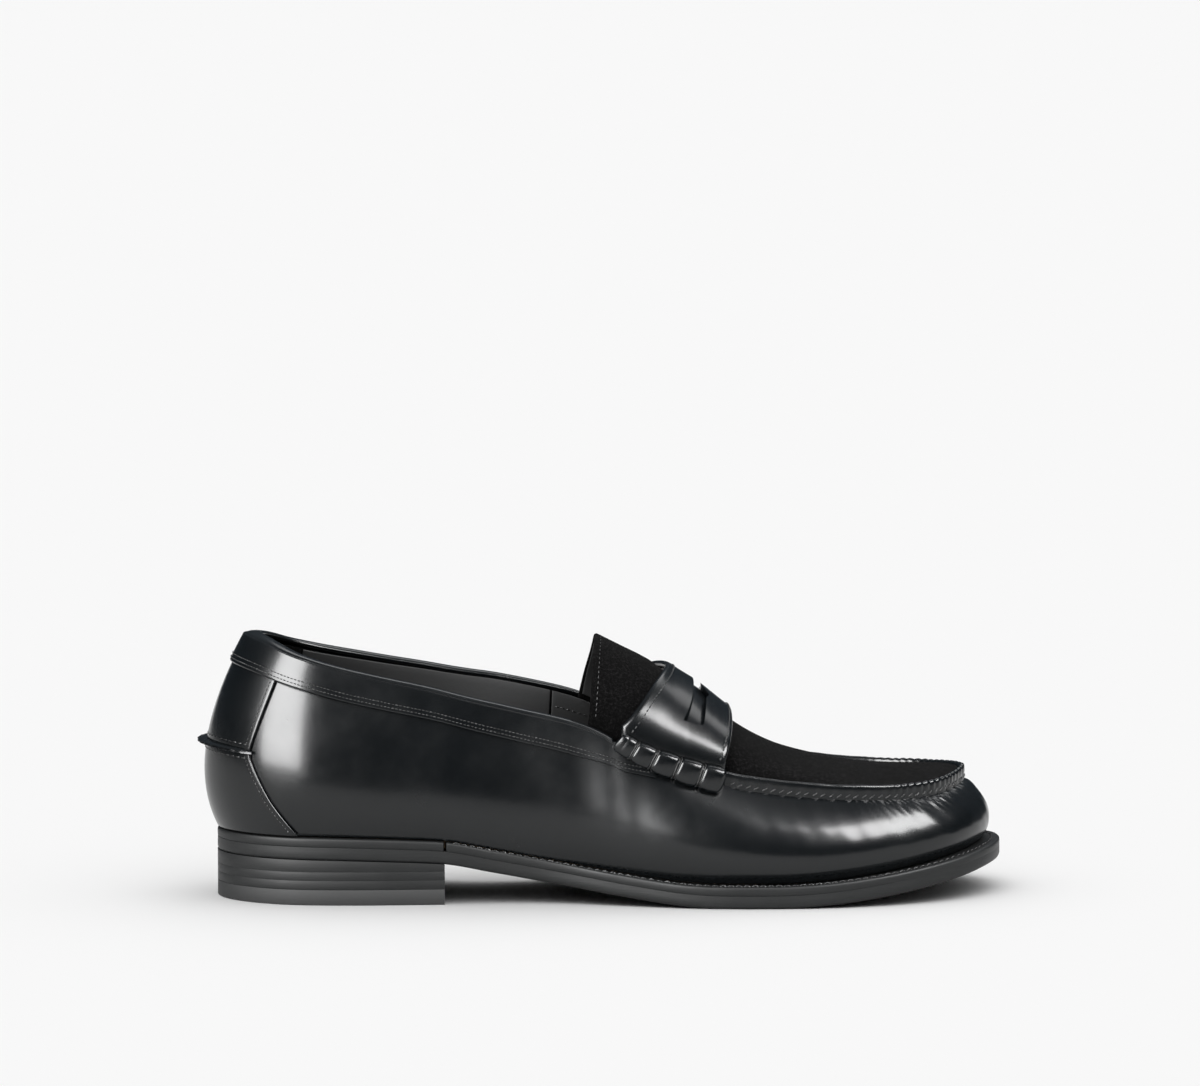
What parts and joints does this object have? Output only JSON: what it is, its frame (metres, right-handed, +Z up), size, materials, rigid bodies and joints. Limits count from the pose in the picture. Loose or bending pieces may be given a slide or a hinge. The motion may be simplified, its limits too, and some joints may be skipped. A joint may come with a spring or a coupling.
{
  "type": "penny loafer",
  "caption": "Right slip-on moccasin-toe shoe with a slotted saddle strap, beefrolls, a hinged tongue, a welted leather sole and a stacked heel.",
  "frame": {"origin": "middle of the bottom of the shoe's box, on the floor", "axes": "+X towards the toe, -Y towards the outer side of the foot, +Z up"},
  "size_m": [0.3026, 0.11, 0.1],
  "materials": {
    "polished_leather": "high polish, very fine grain",
    "suede": "napped suede",
    "lining_leather": "matte",
    "edge_leather": "inked and waxed edge",
    "top_piece_rubber": "matte",
    "fibre_board": "raw",
    "cork_paste": "granular",
    "spring_steel": "blued",
    "brass_nail": "bright"
  },
  "bodies": {
    "shoe": {"heel_top_piece": "top_piece_rubber", "heel_lift_1": "edge_leather", "heel_lift_2": "edge_leather", "heel_lift_3": "edge_leather", "heel_nail_1": "brass_nail", "heel_nail_2": "brass_nail", "heel_nail_3": "brass_nail", "heel_nail_4": "brass_nail", "heel_nail_5": "brass_nail", "outsole": "edge_leather", "welt": "edge_leather", "heel_rand": "edge_leather", "insole_rib": "fibre_board", "cork_filler": "cork_paste", "shank": "spring_steel", "insole": "fibre_board", "sock_lining": "lining_leather", "heel_pad": "lining_leather", "vamp": "polished_leather", "back_panel_lower": "polished_leather", "back_panel_upper": "polished_leather", "heel_seam_ridge": "polished_leather", "collar_band": "polished_leather", "topline_binding": "polished_leather", "vamp_lining": "lining_leather", "quarter_lining_lateral": "lining_leather", "quarter_lining_medial": "lining_leather", "heel_grip": "suede", "heel_counter": "fibre_board", "toe_puff": "fibre_board", "plug_seam_ridge": "polished_leather", "plug": "suede", "plug_lining": "lining_leather", "saddle_strap": "polished_leather", "strap_lining": "lining_leather", "beefroll_lateral": "polished_leather", "beefroll_medial": "polished_leather"},
    "tongue": {"tongue": "suede", "tongue_lining": "lining_leather"}
  },
  "joints": [
    {"name": "tongue_flex", "type": "hinge", "parent": "shoe", "child": "tongue", "pos_m": [0.0179, -0.002, 0.0877], "axis": [0, 1, 0], "range_deg": [-5, 22], "stiffness_Nm_per_rad": 0.15}
  ]
}
